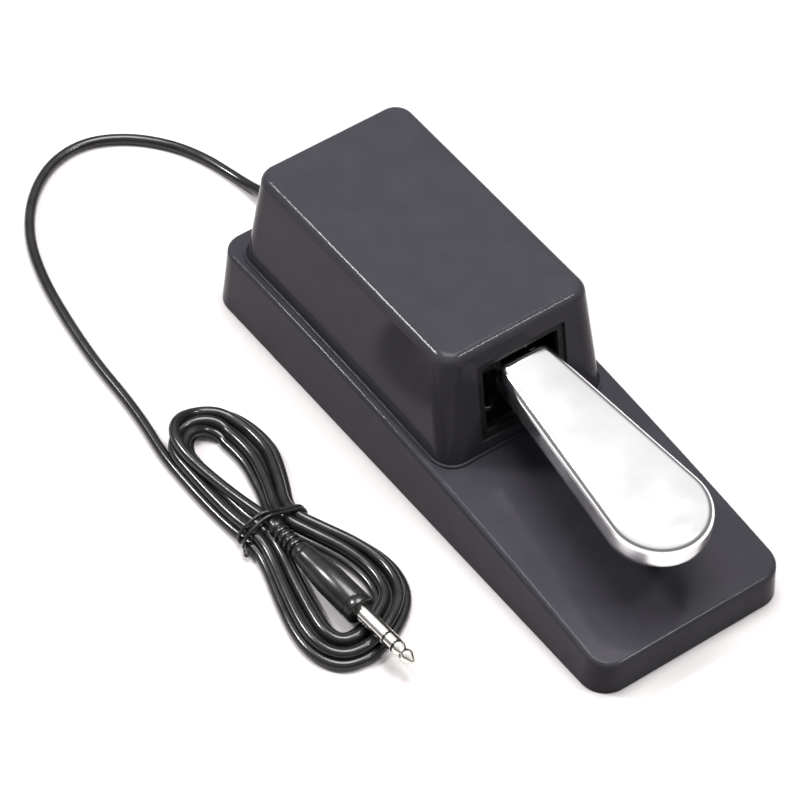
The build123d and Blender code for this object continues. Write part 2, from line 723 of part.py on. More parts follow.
# ---- The tied hank: two lobes and a waist, with a trough that the plug lies in ----
waist = (-97.0, 9.0)
waist_radius = 13.0
waist_height = 12.0
upper_lobe = (-92.0, 53.0)
upper_radius = 20.5
lower_lobe = (-96.0, -36.0)
lower_radius = 26.5
tie_width = 4.0
tie_thickness = 1.2
tie_span = 2 * waist_radius - 1
plug_start = Vector(-99.1, 5.6, 10.6)
plug_end = Vector(-94.9, -77.0, 10.6)
boot_length = 17.0
barrel_length = 34.5
shaft_start = boot_length + barrel_length
plug_axis = Plane(origin=plug_start, z_dir=plug_end - plug_start)
tie_plane = Plane(origin=(waist[0], waist[1] + 1, 0), x_dir=(1, 0.15, 0), z_dir=(0.15, -1, 0))


with BuildPart() as hank_tie:
    with BuildSketch(tie_plane):
        with Locations((0, tie_thickness + waist_height / 2)):
            RectangleRounded(tie_span + 2 * tie_thickness, waist_height + 2 * tie_thickness, 4.0)
            RectangleRounded(tie_span, waist_height, 3.0, mode=Mode.SUBTRACT)
    extrude(amount=tie_width / 2, both=True)
finish(hank_tie.part, "hank_tie")

with BuildPart() as cord_hank:
    for lobe, radius in ((upper_lobe, upper_radius), (lower_lobe, lower_radius)):
        with BuildSketch():
            with Locations(lobe):
                Circle(radius)
            with Locations(waist):
                Circle(waist_radius)
            make_hull()
        extrude(amount=hank_height)
    fillet(cord_hank.faces().sort_by(Axis.Z)[-1].edges(), 3.0)
    with BuildSketch(tie_plane):
        Rectangle(80, 80)
    extrude(amount=tie_width / 2, both=True, mode=Mode.SUBTRACT)
    with BuildSketch(tie_plane):
        with Locations((0, tie_thickness + waist_height / 2)):
            RectangleRounded(tie_span, waist_height, 3.0)
    extrude(amount=tie_width / 2, both=True)
    for radius, start, length in ((5.0, 0, 20), (6.6, boot_length - 1, 40), (7.6, shaft_start - 1, 50)):
        with BuildSketch(plug_axis.offset(start)):
            Circle(radius)
        extrude(amount=length, mode=Mode.SUBTRACT)
    with BuildSketch(plug_axis):
        Circle(cord_radius)
    extrude(amount=-8)
finish(cord_hank.part, "cord_hank")
print("hank volume", round(cord_hank.part.volume), "solids", len(cord_hank.solids()))


# ---- Plug: boot, barrel and three contacts on one axis ----
def ring_on_plug(outer, inner, start, length):
    """A plain ring on the plug's axis."""
    with BuildPart() as ring:
        with BuildSketch(plug_axis.offset(start)):
            Circle(outer)
            if inner:
                Circle(inner, mode=Mode.SUBTRACT)
        extrude(amount=length)
    return ring.part


def cone_on_plug(start_radius, end_radius, start, length):
    """A solid cone or cylinder between two distances along the plug."""
    with BuildPart() as cone:
        with BuildSketch(plug_axis.offset(start)):
            Circle(start_radius)
        with BuildSketch(plug_axis.offset(start + length)):
            Circle(end_radius)
        loft(ruled=True)
    return cone.part


pin_radius = 3.175
core_radius = 1.6
sleeve_length = 15.0
ring_length = 4.0
insulator_length = 1.0
insulator_radius = 2.9
ring_start = shaft_start + sleeve_length + insulator_length
tip_start = ring_start + ring_length + insulator_length
boot_ribs = 5

with BuildPart() as plug_boot:
    add(cone_on_plug(3.1, 4.1, 0, boot_length))
    for step in range(boot_ribs):
        start = 2.2 + 2.8 * step
        add(ring_on_plug(6.0, 2.45 + 0.09 * step, start, 1.2), mode=Mode.SUBTRACT)
finish(plug_boot.part, "plug_boot")

with BuildPart() as plug_barrel:
    add(cone_on_plug(4.4, 6.1, boot_length, barrel_length * 0.45))
    add(cone_on_plug(6.1, 6.2, boot_length + barrel_length * 0.45, barrel_length * 0.55))
    barrel_faces = plug_barrel.faces().sort_by(Axis.Y)
    fillet(barrel_faces[0].edges() + barrel_faces[-1].edges(), 0.8)
finish(plug_barrel.part, "plug_barrel")

with BuildPart() as plug_sleeve:
    add(ring_on_plug(pin_radius, core_radius, shaft_start, sleeve_length))
finish(plug_sleeve.part, "plug_sleeve")

with BuildPart() as plug_ring:
    add(ring_on_plug(pin_radius, core_radius, ring_start, ring_length))
finish(plug_ring.part, "plug_ring")

with BuildPart() as plug_insulators:
    add(ring_on_plug(insulator_radius, core_radius, ring_start - insulator_length, insulator_length))
    add(ring_on_plug(insulator_radius, core_radius, tip_start - insulator_length, insulator_length))
finish(plug_insulators.part, "plug_insulators")

tip_stations = ((2.98, 0.0), (2.98, 1.2), (2.3, 3.0), (2.3, 3.6), (2.85, 5.0), (2.85, 5.8), (0.7, 9.4))
with BuildPart() as plug_tip:
    add(cone_on_plug(core_radius, core_radius, shaft_start, tip_start - shaft_start))
    for (radius, start), (next_radius, end) in zip(tip_stations, tip_stations[1:]):
        add(cone_on_plug(radius, next_radius, tip_start + start, end - start))
    fillet(plug_tip.faces().sort_by(Axis.Y)[0].edges(), 0.6)
finish(plug_tip.part, "plug_tip")
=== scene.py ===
import json
from math import asin, atan2, cos, pi, radians, sin, sqrt, tan

import bmesh
import bpy
from mathutils import Matrix, Vector


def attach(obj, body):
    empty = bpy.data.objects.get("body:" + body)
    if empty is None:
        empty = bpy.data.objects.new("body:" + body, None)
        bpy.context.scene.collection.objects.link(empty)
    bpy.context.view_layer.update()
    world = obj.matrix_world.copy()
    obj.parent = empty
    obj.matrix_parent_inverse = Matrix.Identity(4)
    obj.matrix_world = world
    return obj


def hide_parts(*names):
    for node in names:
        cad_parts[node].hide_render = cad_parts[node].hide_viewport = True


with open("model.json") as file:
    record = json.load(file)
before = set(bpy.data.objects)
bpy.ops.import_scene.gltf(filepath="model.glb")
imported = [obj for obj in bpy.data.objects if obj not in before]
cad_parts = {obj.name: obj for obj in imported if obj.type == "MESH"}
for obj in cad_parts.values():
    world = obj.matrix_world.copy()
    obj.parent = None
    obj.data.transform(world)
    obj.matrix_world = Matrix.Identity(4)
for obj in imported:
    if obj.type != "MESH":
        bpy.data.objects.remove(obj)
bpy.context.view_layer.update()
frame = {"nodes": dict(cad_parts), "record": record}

# The frame has its origin on the floor under the base's middle, +Y to the rear and the lever to -Y.
# Outlines, routes and profiles are in millimetres, and MM turns them into Blender's metres.
MM = 0.001


# ---- Camera ----
def add_camera():
    """A long lens that looks down from the front left, leaned a little to its right."""
    azimuth, elevation, roll = radians(-39.22), radians(49.12), radians(3.41)
    distance, lens = 1.6993, 196.74
    aim = Vector((-0.01732, 0.03599, 0.0))
    back = Vector((sin(azimuth) * cos(elevation), -cos(azimuth) * cos(elevation), sin(elevation)))
    level_right = Vector((cos(azimuth), sin(azimuth), 0.0))
    level_up = back.cross(level_right)
    right = cos(roll) * level_right + sin(roll) * level_up
    up = cos(roll) * level_up - sin(roll) * level_right
    data = bpy.data.cameras.new("camera")
    data.lens = lens
    data.sensor_width = 36.0
    data.clip_start, data.clip_end = 0.05, 20.0
    camera = bpy.data.objects.new("camera", data)
    turn = Matrix((right, up, back)).transposed().to_4x4()
    camera.matrix_world = Matrix.Translation(aim + distance * back) @ turn
    bpy.context.collection.objects.link(camera)
    bpy.context.scene.camera = camera


add_camera()


# ---- Materials ----
PLASTIC_SPECULAR = 0.055
RUBBER_SPECULAR = 0.32
METAL_TINT = 0.94
WIRE_TINT = 0.85
BLEND_START, BLEND_END = 0.35, 0.65
# A face counts as one of the sides until its normal points up by this much.
SIDE_FACING = 0.35
HAIR_STRETCH = (900.0, 40.0, 900.0)
HAIR_LEAN = radians(8)
PEEL_DEPTH, INSULATION_DEPTH = 0.00004, 0.00003


def new_material(name):
    """A node material, with the tree and the shader that its nodes are added to."""
    material = bpy.data.materials.new(name)
    material.use_nodes = True
    tree = material.node_tree
    return material, tree, tree.nodes["Principled BSDF"]


def object_point(tree):
    """The point in the object's own frame, in metres."""
    return tree.nodes.new("ShaderNodeTexCoord").outputs["Object"]


def noise(tree, scale, detail=4.0, roughness=0.55):
    """A noise texture over the object's own frame."""
    node = tree.nodes.new("ShaderNodeTexNoise")
    node.inputs["Scale"].default_value = scale
    node.inputs["Detail"].default_value = detail
    node.inputs["Roughness"].default_value = roughness
    tree.links.new(object_point(tree), node.inputs["Vector"])
    return node.outputs["Fac"]


def ramp(tree, factor, low, high):
    """Two colours mixed by the middle stretch of a factor."""
    node = tree.nodes.new("ShaderNodeValToRGB")
    first, last = node.color_ramp.elements
    first.position, last.position = BLEND_START, BLEND_END
    first.color, last.color = (*low, 1.0), (*high, 1.0)
    tree.links.new(factor, node.inputs["Fac"])
    return node.outputs["Color"]


def levels(tree, factor, low, high, start=0.3, end=0.7):
    """A number that goes from low to high while a factor goes from start to end."""
    node = tree.nodes.new("ShaderNodeMapRange")
    node.inputs["From Min"].default_value = start
    node.inputs["From Max"].default_value = end
    node.inputs["To Min"].default_value = low
    node.inputs["To Max"].default_value = high
    tree.links.new(factor, node.inputs["Value"])
    return node.outputs["Result"]


def bump(tree, shader, height, distance, strength, under=None):
    """Relief on the shader's normal, over another relief if there is one."""
    node = tree.nodes.new("ShaderNodeBump")
    node.inputs["Strength"].default_value = strength
    node.inputs["Distance"].default_value = distance
    tree.links.new(height, node.inputs["Height"])
    if under is not None:
        tree.links.new(under, node.inputs["Normal"])
    tree.links.new(node.outputs["Normal"], shader.inputs["Normal"])
    return node.outputs["Normal"]


def moulded_plastic(name, low, high, roughness, grain_scale, grain_depth):
    """Moulded plastic: a fine pebble grain, with faint handling marks in its gloss."""
    material, tree, shader = new_material(name)
    tree.links.new(ramp(tree, noise(tree, 90.0, detail=3.0), low, high), shader.inputs["Base Color"])
    smears = noise(tree, 38.0, detail=6.0, roughness=0.6)
    wear = levels(tree, smears, roughness - 0.02, roughness + 0.03)
    tree.links.new(wear, shader.inputs["Roughness"])
    shader.inputs["Specular IOR Level"].default_value = PLASTIC_SPECULAR
    pebble = tree.nodes.new("ShaderNodeTexVoronoi")
    pebble.inputs["Scale"].default_value = grain_scale
    tree.links.new(object_point(tree), pebble.inputs["Vector"])
    coarse = bump(tree, shader, pebble.outputs["Distance"], grain_depth, strength=0.55)
    fine = noise(tree, grain_scale * 0.6, detail=2.0)
    bump(tree, shader, fine, grain_depth * 0.7, strength=0.5, under=coarse)
    return material


def polished_metal(name, colour, roughness, scratch_depth, satin_sides=0.0):
    """Metal with hair scratches and a faint haze. Faces that don't look up can be more satin."""
    material, tree, shader = new_material(name)
    shader.inputs["Metallic"].default_value = 1.0
    tint = tuple(METAL_TINT * part for part in colour)
    tree.links.new(ramp(tree, noise(tree, 14.0, detail=3.0), tint, colour), shader.inputs["Base Color"])
    clouds = noise(tree, 55.0, detail=5.0, roughness=0.6)
    haze = levels(tree, clouds, roughness * 0.6, roughness * 1.5)
    facing = tree.nodes.new("ShaderNodeSeparateXYZ")
    tree.links.new(tree.nodes.new("ShaderNodeNewGeometry").outputs["Normal"], facing.inputs["Vector"])
    sides = levels(tree, facing.outputs["Z"], satin_sides, 0.0, start=0.0, end=SIDE_FACING)
    satin = tree.nodes.new("ShaderNodeMath")
    satin.operation = "ADD"
    tree.links.new(haze, satin.inputs[0])
    tree.links.new(sides, satin.inputs[1])
    tree.links.new(satin.outputs["Value"], shader.inputs["Roughness"])
    stretch = tree.nodes.new("ShaderNodeMapping")
    stretch.inputs["Scale"].default_value = HAIR_STRETCH
    stretch.inputs["Rotation"].default_value = (0.0, 0.0, HAIR_LEAN)
    tree.links.new(object_point(tree), stretch.inputs["Vector"])
    hairs = tree.nodes.new("ShaderNodeTexNoise")
    hairs.inputs["Scale"].default_value = 1.0
    hairs.inputs["Detail"].default_value = 2.0
    tree.links.new(stretch.outputs["Vector"], hairs.inputs["Vector"])
    bump(tree, shader, hairs.outputs["Fac"], scratch_depth, strength=0.35)
    return material


def soft_rubber(name, dark, light, roughness, grain):
    """Smooth flexible vinyl or rubber, between two greys, with a slight orange peel."""
    material, tree, shader = new_material(name)
    colour = ramp(tree, noise(tree, 120.0, detail=3.0), (dark, dark, dark), (light, light, light))
    tree.links.new(colour, shader.inputs["Base Color"])
    gloss = levels(tree, noise(tree, 160.0), roughness - 0.04, roughness + 0.06)
    shader.inputs["Specular IOR Level"].default_value = RUBBER_SPECULAR
    tree.links.new(gloss, shader.inputs["Roughness"])
    bump(tree, shader, noise(tree, grain, detail=3.0), PEEL_DEPTH, strength=0.4)
    return material


def insulation(name, colour):
    """Coloured wire insulation or moulded nylon."""
    material, tree, shader = new_material(name)
    tint = tuple(WIRE_TINT * part for part in colour)
    tree.links.new(ramp(tree, noise(tree, 200.0), tint, colour), shader.inputs["Base Color"])
    tree.links.new(levels(tree, noise(tree, 300.0), 0.32, 0.45), shader.inputs["Roughness"])
    bump(tree, shader, noise(tree, 900.0, detail=2.0), INSULATION_DEPTH, strength=0.3)
    return material


MATERIALS = {
    "moulded_black": moulded_plastic(
        "moulded_black", (0.0222, 0.0208, 0.0252), (0.0245, 0.0230, 0.0277),
        roughness=0.14, grain_scale=2600.0, grain_depth=0.00001,
    ),
    "bezel_black": moulded_plastic(
        "bezel_black", (0.010, 0.009, 0.009), (0.016, 0.014, 0.014),
        roughness=0.34, grain_scale=3200.0, grain_depth=0.00003,
    ),
    "pedal_chrome": polished_metal(
        "pedal_chrome", (0.94, 0.94, 0.95), roughness=0.10, scratch_depth=0.000002, satin_sides=0.12
    ),
    "plug_nickel": polished_metal("plug_nickel", (0.86, 0.83, 0.78), 0.16, 0.000006),
    "zinc_steel": polished_metal("zinc_steel", (0.26, 0.25, 0.23), 0.42, 0.00002),
    "bright_steel": polished_metal("bright_steel", (0.70, 0.70, 0.70), 0.25, 0.00002),
    "spring_steel": polished_metal("spring_steel", (0.50, 0.50, 0.52), 0.30, 0.00002),
    "contact_brass": polished_metal("contact_brass", (0.78, 0.66, 0.36), 0.28, 0.00002),
    "sole_rubber": soft_rubber("sole_rubber", 0.018, 0.028, 0.75, 700.0),
    "stop_rubber": soft_rubber("stop_rubber", 0.03, 0.05, 0.7, 700.0),
    "cord_black": soft_rubber("cord_black", 0.006, 0.010, 0.20, 420.0),
    "tie_black": soft_rubber("tie_black", 0.006, 0.012, 0.30, 900.0),
    "plug_black": soft_rubber("plug_black", 0.007, 0.012, 0.24, 500.0),
    "switch_case": soft_rubber("switch_case", 0.03, 0.045, 0.35, 900.0),
    "nylon": insulation("nylon", (0.80, 0.78, 0.70)),
    "switch_red": insulation("switch_red", (0.55, 0.04, 0.03)),
    "wire_white": insulation("wire_white", (0.78, 0.78, 0.75)),
    "wire_red": insulation("wire_red", (0.55, 0.04, 0.03)),
    "wire_black": insulation("wire_black", (0.015, 0.015, 0.015)),
}


def paint_nodes():
    """Every CAD node takes the material of its own slot."""
    for part in frame["record"]["subparts"]:
        mesh = frame["nodes"][part["node"]].data
        material = MATERIALS[part["material_slot"]]
        if mesh.materials:
            mesh.materials[0] = material
        else:
            mesh.materials.append(material)


paint_nodes()


# ---- Meshes and tubes ----
WELD = 1e-6
SHARP_ANGLE = radians(32)


def add_mesh(name, faces, material, body, replaced):
    """An object made from faces, each a list of points, that rides a body and replaces nodes."""
    shape = bmesh.new()
    for face in faces:
        shape.faces.new([shape.verts.new(point) for point in face])
    bmesh.ops.remove_doubles(shape, verts=shape.verts, dist=WELD)
    bmesh.ops.dissolve_degenerate(shape, edges=shape.edges, dist=WELD)
    bmesh.ops.recalc_face_normals(shape, faces=shape.faces)
    for edge in shape.edges:
        edge.smooth = edge.calc_face_angle(0.0) < SHARP_ANGLE
    for face in shape.faces:
        face.smooth = True
    mesh = bpy.data.meshes.new(name)
    shape.to_mesh(mesh)
    shape.free()
    mesh.materials.append(MATERIALS[material])
    piece = bpy.data.objects.new(name, mesh)
    bpy.context.collection.objects.link(piece)
    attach(piece, body)
    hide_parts(*replaced)
    return piece


def bridge(rings):
    """Faces between closed rings that have the same number of points."""
    faces = []
    for ring, following in zip(rings, rings[1:]):
        for index in range(len(ring)):
            after = (index + 1) % len(ring)
            faces.append([ring[index], ring[after], following[after], following[index]])
    return faces


def turned(profile, start, axis, sides=64):
    """Faces of a shape turned on an axis, from (distance, radius) pairs in millimetres."""
    axis = axis.normalized()
    across = axis.orthogonal().normalized()
    third = axis.cross(across)
    rings = []
    for distance, radius in profile:
        centre = start + distance * MM * axis
        spokes = [2 * pi * side / sides for side in range(sides)]
        rings.append([centre + radius * MM * (cos(a) * across + sin(a) * third) for a in spokes])
    return bridge(rings)


def add_line(curve, kind, points, closed):
    """One line of a tube: POLY runs straight between its points and NURBS is smooth."""
    spline = curve.splines.new(kind)
    spline.points.add(len(points) - 1)
    for spot, point in zip(spline.points, points):
        spot.co = (*(Vector(point) * MM), 1.0)
    spline.use_cyclic_u = closed
    if kind == "NURBS":
        spline.order_u = 3
        spline.use_endpoint_u = not closed


def add_tube(name, radius, material, lines, kind="NURBS", roundness=4, smoothness=8):
    """A round tube that rides the base, along lines that are pairs of points and closed or not."""
    curve = bpy.data.curves.new(name, "CURVE")
    curve.dimensions = "3D"
    curve.bevel_depth = radius * MM
    curve.bevel_resolution = roundness
    curve.resolution_u = smoothness
    for points, closed in lines:
        add_line(curve, kind, points, closed)
    curve.materials.append(MATERIALS[material])
    tube = bpy.data.objects.new(name, curve)
    bpy.context.collection.objects.link(tube)
    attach(tube, "base")
    return tube


# ---- Lever: a keyhole plate with a rolled edge, hollow below, on a tang with an eye ----
LEVER_NECK = Vector((0.0, -11.8, 62.0))
LEVER_SLOPE = radians(3.9)
LEVER_REACH, END_RADIUS, NECK_HALF = 105.1, 20.8, 11.4
LEVER_THICK, LEVER_SKIN, LEVER_EDGE = 11.0, 2.6, 3.6
NECK_CORNER, LEAST_CORNER = 3.9, 0.4
# The crown is full where the plate is wider than CROWN_HALF each side, and fades to the tip.
CROWN, CROWN_HALF = 0.5, 12.0
END_STEPS, SIDE_STEPS, CORNER_STEPS, EDGE_STEPS, ACROSS = 40, 20, 8, 10, 16
# The skirt's section as (inset, height): down inside the hollow, round the lip and up the outside.
SKIRT_SECTION = [
    (LEVER_SKIN, -LEVER_SKIN), (LEVER_SKIN, 0.4 - LEVER_THICK), (LEVER_SKIN - 0.4, -LEVER_THICK),
    (0.5, -LEVER_THICK), (0.1, 0.15 - LEVER_THICK), (0.0, 0.5 - LEVER_THICK),
    (0.0, 2.0 - LEVER_THICK), (0.0, -LEVER_EDGE - 0.8),
]
# Under and behind the plate, as (y, z) from the side: the tang up to the eye and the tail past it.
TANG = [(-44, 52.5), (-44, 58), (-12.8, 60.4), (-10.8, 57), (60, 55.28), (60, 47.92), (-12, 50)]
TAIL = [(72, 54.98), (92, 54.5), (92, 47.0), (72, 47.58)]
TANG_HALF, TANG_BREAK = 6.0, 0.6
# The eye round the axle and the spring's seat, as (distance, radius) along their own axes.
EYE = [(-8.9, 4.2), (-8.9, 7.5), (-8.4, 8.0), (8.4, 8.0), (8.9, 7.5), (8.9, 4.2), (-8.9, 4.2)]
EYE_MIDDLE, EYE_AXIS = Vector((0.0, 66.0, 50.0)), Vector((1.0, 0.0, 0.0))
SEAT = [(0.0, 0.0), (0.0, 3.6), (0.4, 4.0), (5.0, 4.0), (5.0, 0.0)]
SEAT_FOOT, SEAT_AXIS, SEAT_SIDES = Vector((0.0, 34.0, 43.67)), Vector((0.0, 0.0, 1.0)), 40


def lever_point(x, along, height):
    """A point of the lever's plate in metres, from the neck end's middle."""
    y = along * cos(LEVER_SLOPE) - height * sin(LEVER_SLOPE)
    z = along * sin(LEVER_SLOPE) + height * cos(LEVER_SLOPE)
    return (LEVER_NECK + Vector((x, y, z))) * MM


def half_outline(inset):
    """The plate's right half outline from the tip to the neck end, drawn in by an inset."""
    run = LEVER_REACH - END_RADIUS
    span = sqrt(NECK_HALF ** 2 + run ** 2)
    swell = asin(END_RADIUS / span) - atan2(NECK_HALF, run)
    radius = END_RADIUS - inset
    points = []
    for step in range(END_STEPS + 1):
        angle = -pi / 2 + (pi / 2 + swell) * step / END_STEPS
        points.append((radius * cos(angle), -run + radius * sin(angle)))
    join = points[-1]
    neck_x = (radius - (run - inset) * sin(swell)) / cos(swell)
    corner = max(NECK_CORNER - inset, LEAST_CORNER)
    # The corner stands a little further out than an arc that only touches the side.
    stand_out = corner * tan(swell) / 2
    centre_x = neck_x - corner * (1 - sin(swell)) / cos(swell) + stand_out
    centre_y = -inset - corner
    first = (centre_x + corner * cos(swell), centre_y + corner * sin(swell))
    for step in range(1, SIDE_STEPS):
        share = step / SIDE_STEPS
        points.append((join[0] + share * (first[0] - join[0]), join[1] + share * (first[1] - join[1])))
    for step in range(CORNER_STEPS + 1):
        angle = swell + (pi / 2 - swell) * step / CORNER_STEPS
        points.append((centre_x + corner * cos(angle), centre_y + corner * sin(angle)))
    return points


def lever_ring(inset, height):
    """A closed ring of points round the plate at an inset and a height."""
    half = half_outline(inset)
    end_x, end_y = half[-1]
    back = [(end_x * (1 - 2 * step / ACROSS), end_y) for step in range(1, ACROSS)]
    left = [(-x, y) for x, y in reversed(half[1:])]
    return [lever_point(x, y, height) for x, y in half + back + left]


def lever_cap(inset, height, crown):
    """Faces that close the plate across its width, raised in the middle by a crown."""
    rows = []
    for x, y in half_outline(inset):
        rise = crown * min(1.0, x / CROWN_HALF)
        row = []
        for step in range(ACROSS + 1):
            side = 1 - 2 * step / ACROSS
            row.append(lever_point(x * side, y, height + rise * (1 - side ** 2)))
        rows.append(row)
    faces = [[rows[0][0], rows[1][step], rows[1][step + 1]] for step in range(ACROSS)]
    for row, following in zip(rows[1:], rows[2:]):
        for step in range(ACROSS):
            faces.append([row[step], following[step], following[step + 1], row[step + 1]])
    return faces


def prism(profile, half_width, edge):
    """Faces of a side profile of (y, z) pairs, widened to both sides, with broken edges."""
    middle_y = sum(y for y, z in profile) / len(profile)
    middle_z = sum(z for y, z in profile) / len(profile)

    def side_ring(x, inset):
        ring = []
        for y, z in profile:
            away = Vector((y - middle_y, z - middle_z)).normalized() * inset
            ring.append(Vector((x, y - away.x, z - away.y)) * MM)
        return ring

    rings = [
        side_ring(-half_width, edge), side_ring(-half_width + edge, 0.0),
        side_ring(half_width - edge, 0.0), side_ring(half_width, edge),
    ]
    return bridge(rings) + [rings[0], rings[-1]]


def add_lever():
    """The chromed lever: plate, underside, tang, tail, eye and the spring's seat."""
    rings = [lever_ring(inset, height) for inset, height in SKIRT_SECTION]
    for step in range(EDGE_STEPS + 1):
        angle = pi / 2 * step / EDGE_STEPS
        rings.append(lever_ring(LEVER_EDGE * (1 - cos(angle)), LEVER_EDGE * (sin(angle) - 1)))
    faces = bridge(rings)
    faces += lever_cap(LEVER_EDGE, 0.0, CROWN)
    faces += lever_cap(LEVER_SKIN, -LEVER_SKIN, 0.0)
    faces += prism(TANG, TANG_HALF, TANG_BREAK)
    faces += prism(TAIL, TANG_HALF, TANG_BREAK)
    faces += turned(EYE, EYE_MIDDLE * MM, EYE_AXIS)
    faces += turned(SEAT, SEAT_FOOT * MM, SEAT_AXIS, SEAT_SIDES)
    add_mesh("lever", faces, "pedal_chrome", "pedal", ["pedal"])


add_lever()


# ---- Rim: the rounded bead on the deck round the housing's foot ----
# The deck is an arc through these (y, z) points at its front, near its middle and at its rear.
DECK = ((-124.0, 15.2), (-8.0, 26.4), (124.0, 28.6))
RIM_HALF, RIM_FRONT, RIM_REAR, RIM_CORNER = 39.6, -20.9, 115.5, 9.2
RIM_BEAD, RIM_LIFT = 0.62, 0.45
RIM_CORNER_STEPS, RIM_SIDE_STEPS = 8, 12


def deck_height(y):
    """Height of the deck at y, on the arc through its three points."""
    (y1, z1), (y2, z2), (y3, z3) = DECK
    k12 = ((y2 ** 2 + z2 ** 2) - (y1 ** 2 + z1 ** 2)) / 2
    k23 = ((y3 ** 2 + z3 ** 2) - (y2 ** 2 + z2 ** 2)) / 2
    spread = (y2 - y1) * (z3 - z2) - (y3 - y2) * (z2 - z1)
    middle_y = (k12 * (z3 - z2) - k23 * (z2 - z1)) / spread
    middle_z = (k23 * (y2 - y1) - k12 * (y3 - y2)) / spread
    radius = sqrt((y1 - middle_y) ** 2 + (z1 - middle_z) ** 2)
    return middle_z + sqrt(radius ** 2 - (y - middle_y) ** 2)


def rim_corner(x, y, start):
    """A quarter turn round a corner's middle, from a start angle in degrees."""
    angles = [radians(start + 90 * step / RIM_CORNER_STEPS) for step in range(RIM_CORNER_STEPS + 1)]
    return [(x + RIM_CORNER * cos(angle), y + RIM_CORNER * sin(angle)) for angle in angles]


def rim_side(x, start, end):
    """The points between two corners on a long side, so close that the bead follows the deck."""
    shares = [step / RIM_SIDE_STEPS for step in range(1, RIM_SIDE_STEPS)]
    return [(x, start + share * (end - start)) for share in shares]


def add_rim():
    """A thin bead that follows the deck round the housing."""
    corner_x = RIM_HALF - RIM_CORNER
    front, rear = RIM_FRONT + RIM_CORNER, RIM_REAR - RIM_CORNER
    path = rim_corner(corner_x, rear, 0) + rim_corner(-corner_x, rear, 90)
    path += rim_side(-RIM_HALF, rear, front)
    path += rim_corner(-corner_x, front, 180) + rim_corner(corner_x, front, 270)
    path += rim_side(RIM_HALF, front, rear)
    points = [(x, y, deck_height(y) + RIM_LIFT) for x, y in path]
    add_tube("foot_rim", RIM_BEAD, "moulded_black", [(points, True)], kind="POLY")


add_rim()


# ---- Cord: the free stretch, the hank's turns and the end at the plug ----
CORD_DIAMETER_MM = 4.3
# Height of the cord's middle line where it lies on the floor.
FLOOR_Z = 2.15
FREE_ROUTE = [
    (0, 138, 8.5), (0, 144, 8.5), (-0.3, 152, 6.2), (-1.1, 161, 3.2), (-2.8, 171, 2.15),
    (-6.2, 184, 2.2), (-13, 198, 2.15), (-25.5, 211.5, 2.2), (-42, 219.5, 2.15), (-60, 217, 2.2),
    (-77, 205, 2.15), (-89.5, 187.5, 2.2), (-97, 166, 2.15), (-101.5, 142, 2.2), (-104.5, 118, 2.15),
    (-105.3, 96, 2.2), (-106.9, 80, 2.2), (-108.6, 70, 2.15),
]
# The outermost turn's middle line, from the upper left round to the upper left again: x, y and the
# step between neighbouring turns there.
LEFT_SIDE = [(-109.8, 60.0, 4.4), (-110.1, 46.0, 4.4), (-110.0, 33.0, 4.4), (-109.2, 20.0, 4.4)]
LOWER_LOBE = [
    (-108.4, -1.5, 4.5), (-113.9, -17.5, 5.2), (-119.0, -35.3, 5.9), (-119.2, -48.0, 6.2),
    (-114.4, -57.1, 6.4), (-105.7, -60.0, 6.4), (-96.2, -59.0, 6.2), (-84.5, -54.0, 5.9),
    (-75.8, -47.1, 5.7), (-71.6, -39.1, 5.7), (-70.3, -27.9, 5.6), (-73.6, -15.3, 5.0),
    (-79.6, -3.0, 4.5),
]
UPPER_LOBE = [
    (-84.4, 17.2, 4.4), (-80.6, 24.4, 4.8), (-76.9, 32.8, 5.6), (-74.4, 39.4, 6.1),
    (-73.5, 45.8, 6.4), (-73.8, 53.1, 6.4), (-75.3, 59.9, 6.2), (-77.4, 65.5, 5.9),
    (-82.1, 70.6, 5.6), (-89.7, 73.7, 5.3), (-97.2, 73.0, 5.0), (-102.6, 70.4, 4.7),
    (-107.2, 65.4, 4.5),
]
WAIST_LEFT, WAIST_RIGHT, WAIST_Y, WAIST_STEP = -107.8, -86.2, 9.0, 4.35
# The middle line of each lobe, towards which its inner turns are drawn in.
UPPER_MIDDLE = ((-97.0, 14.0), (-91.5, 53.5))
LOWER_MIDDLE = ((-97.0, 2.0), (-95.5, -35.5))
# For each turn, how many steps it is drawn in and whether it lies on the floor or on other turns.
TURN_STEPS = [0.0, 1.0, 2.0, 1.5, 0.5]
TURN_LAYERS = [0, 0, 0, 1, 1]
# How far a turn has changed over to the next one, at the last points of the upper lobe.
CHANGE_OVER = {-6: 0.04, -5: 0.12, -4: 0.28, -3: 0.5, -2: 0.74, -1: 0.92}
# A turn climbs to the next layer faster than it moves over.
CLIMB_RATE = 2.2
# Lift of an upper turn where it crosses others, and of every turn that has the tie under it.
CROSSING_LIFT, TIE_LIFT = 1.0, 1.45
# The last turn leaves the upper lobe this many points early, for the plug.
LAST_TURN_CUT = 4
TURN_GAP = 0.05
LAST_STRETCH = [
    (-91.0, 71.6, 7.2), (-98.8, 70.6, 9.8), (-104.4, 65.2, 10.6), (-106.2, 56.0, 10.3), (-105.4, 46.0, 9.9),
    (-103.9, 35.0, 9.8), (-102.1, 24.0, 10.0), (-100.4, 15.5, 10.5), (-99.5, 10.5, 10.6),
]
PLUG_START, PLUG_END = (-99.1, 5.6, 10.6), (-94.9, -77.0, 10.6)


def layer_rise(step):
    """How far a turn in the groove between two others stands above them."""
    return sqrt(max((CORD_DIAMETER_MM + TURN_GAP) ** 2 - (step / 2) ** 2, 1.0))


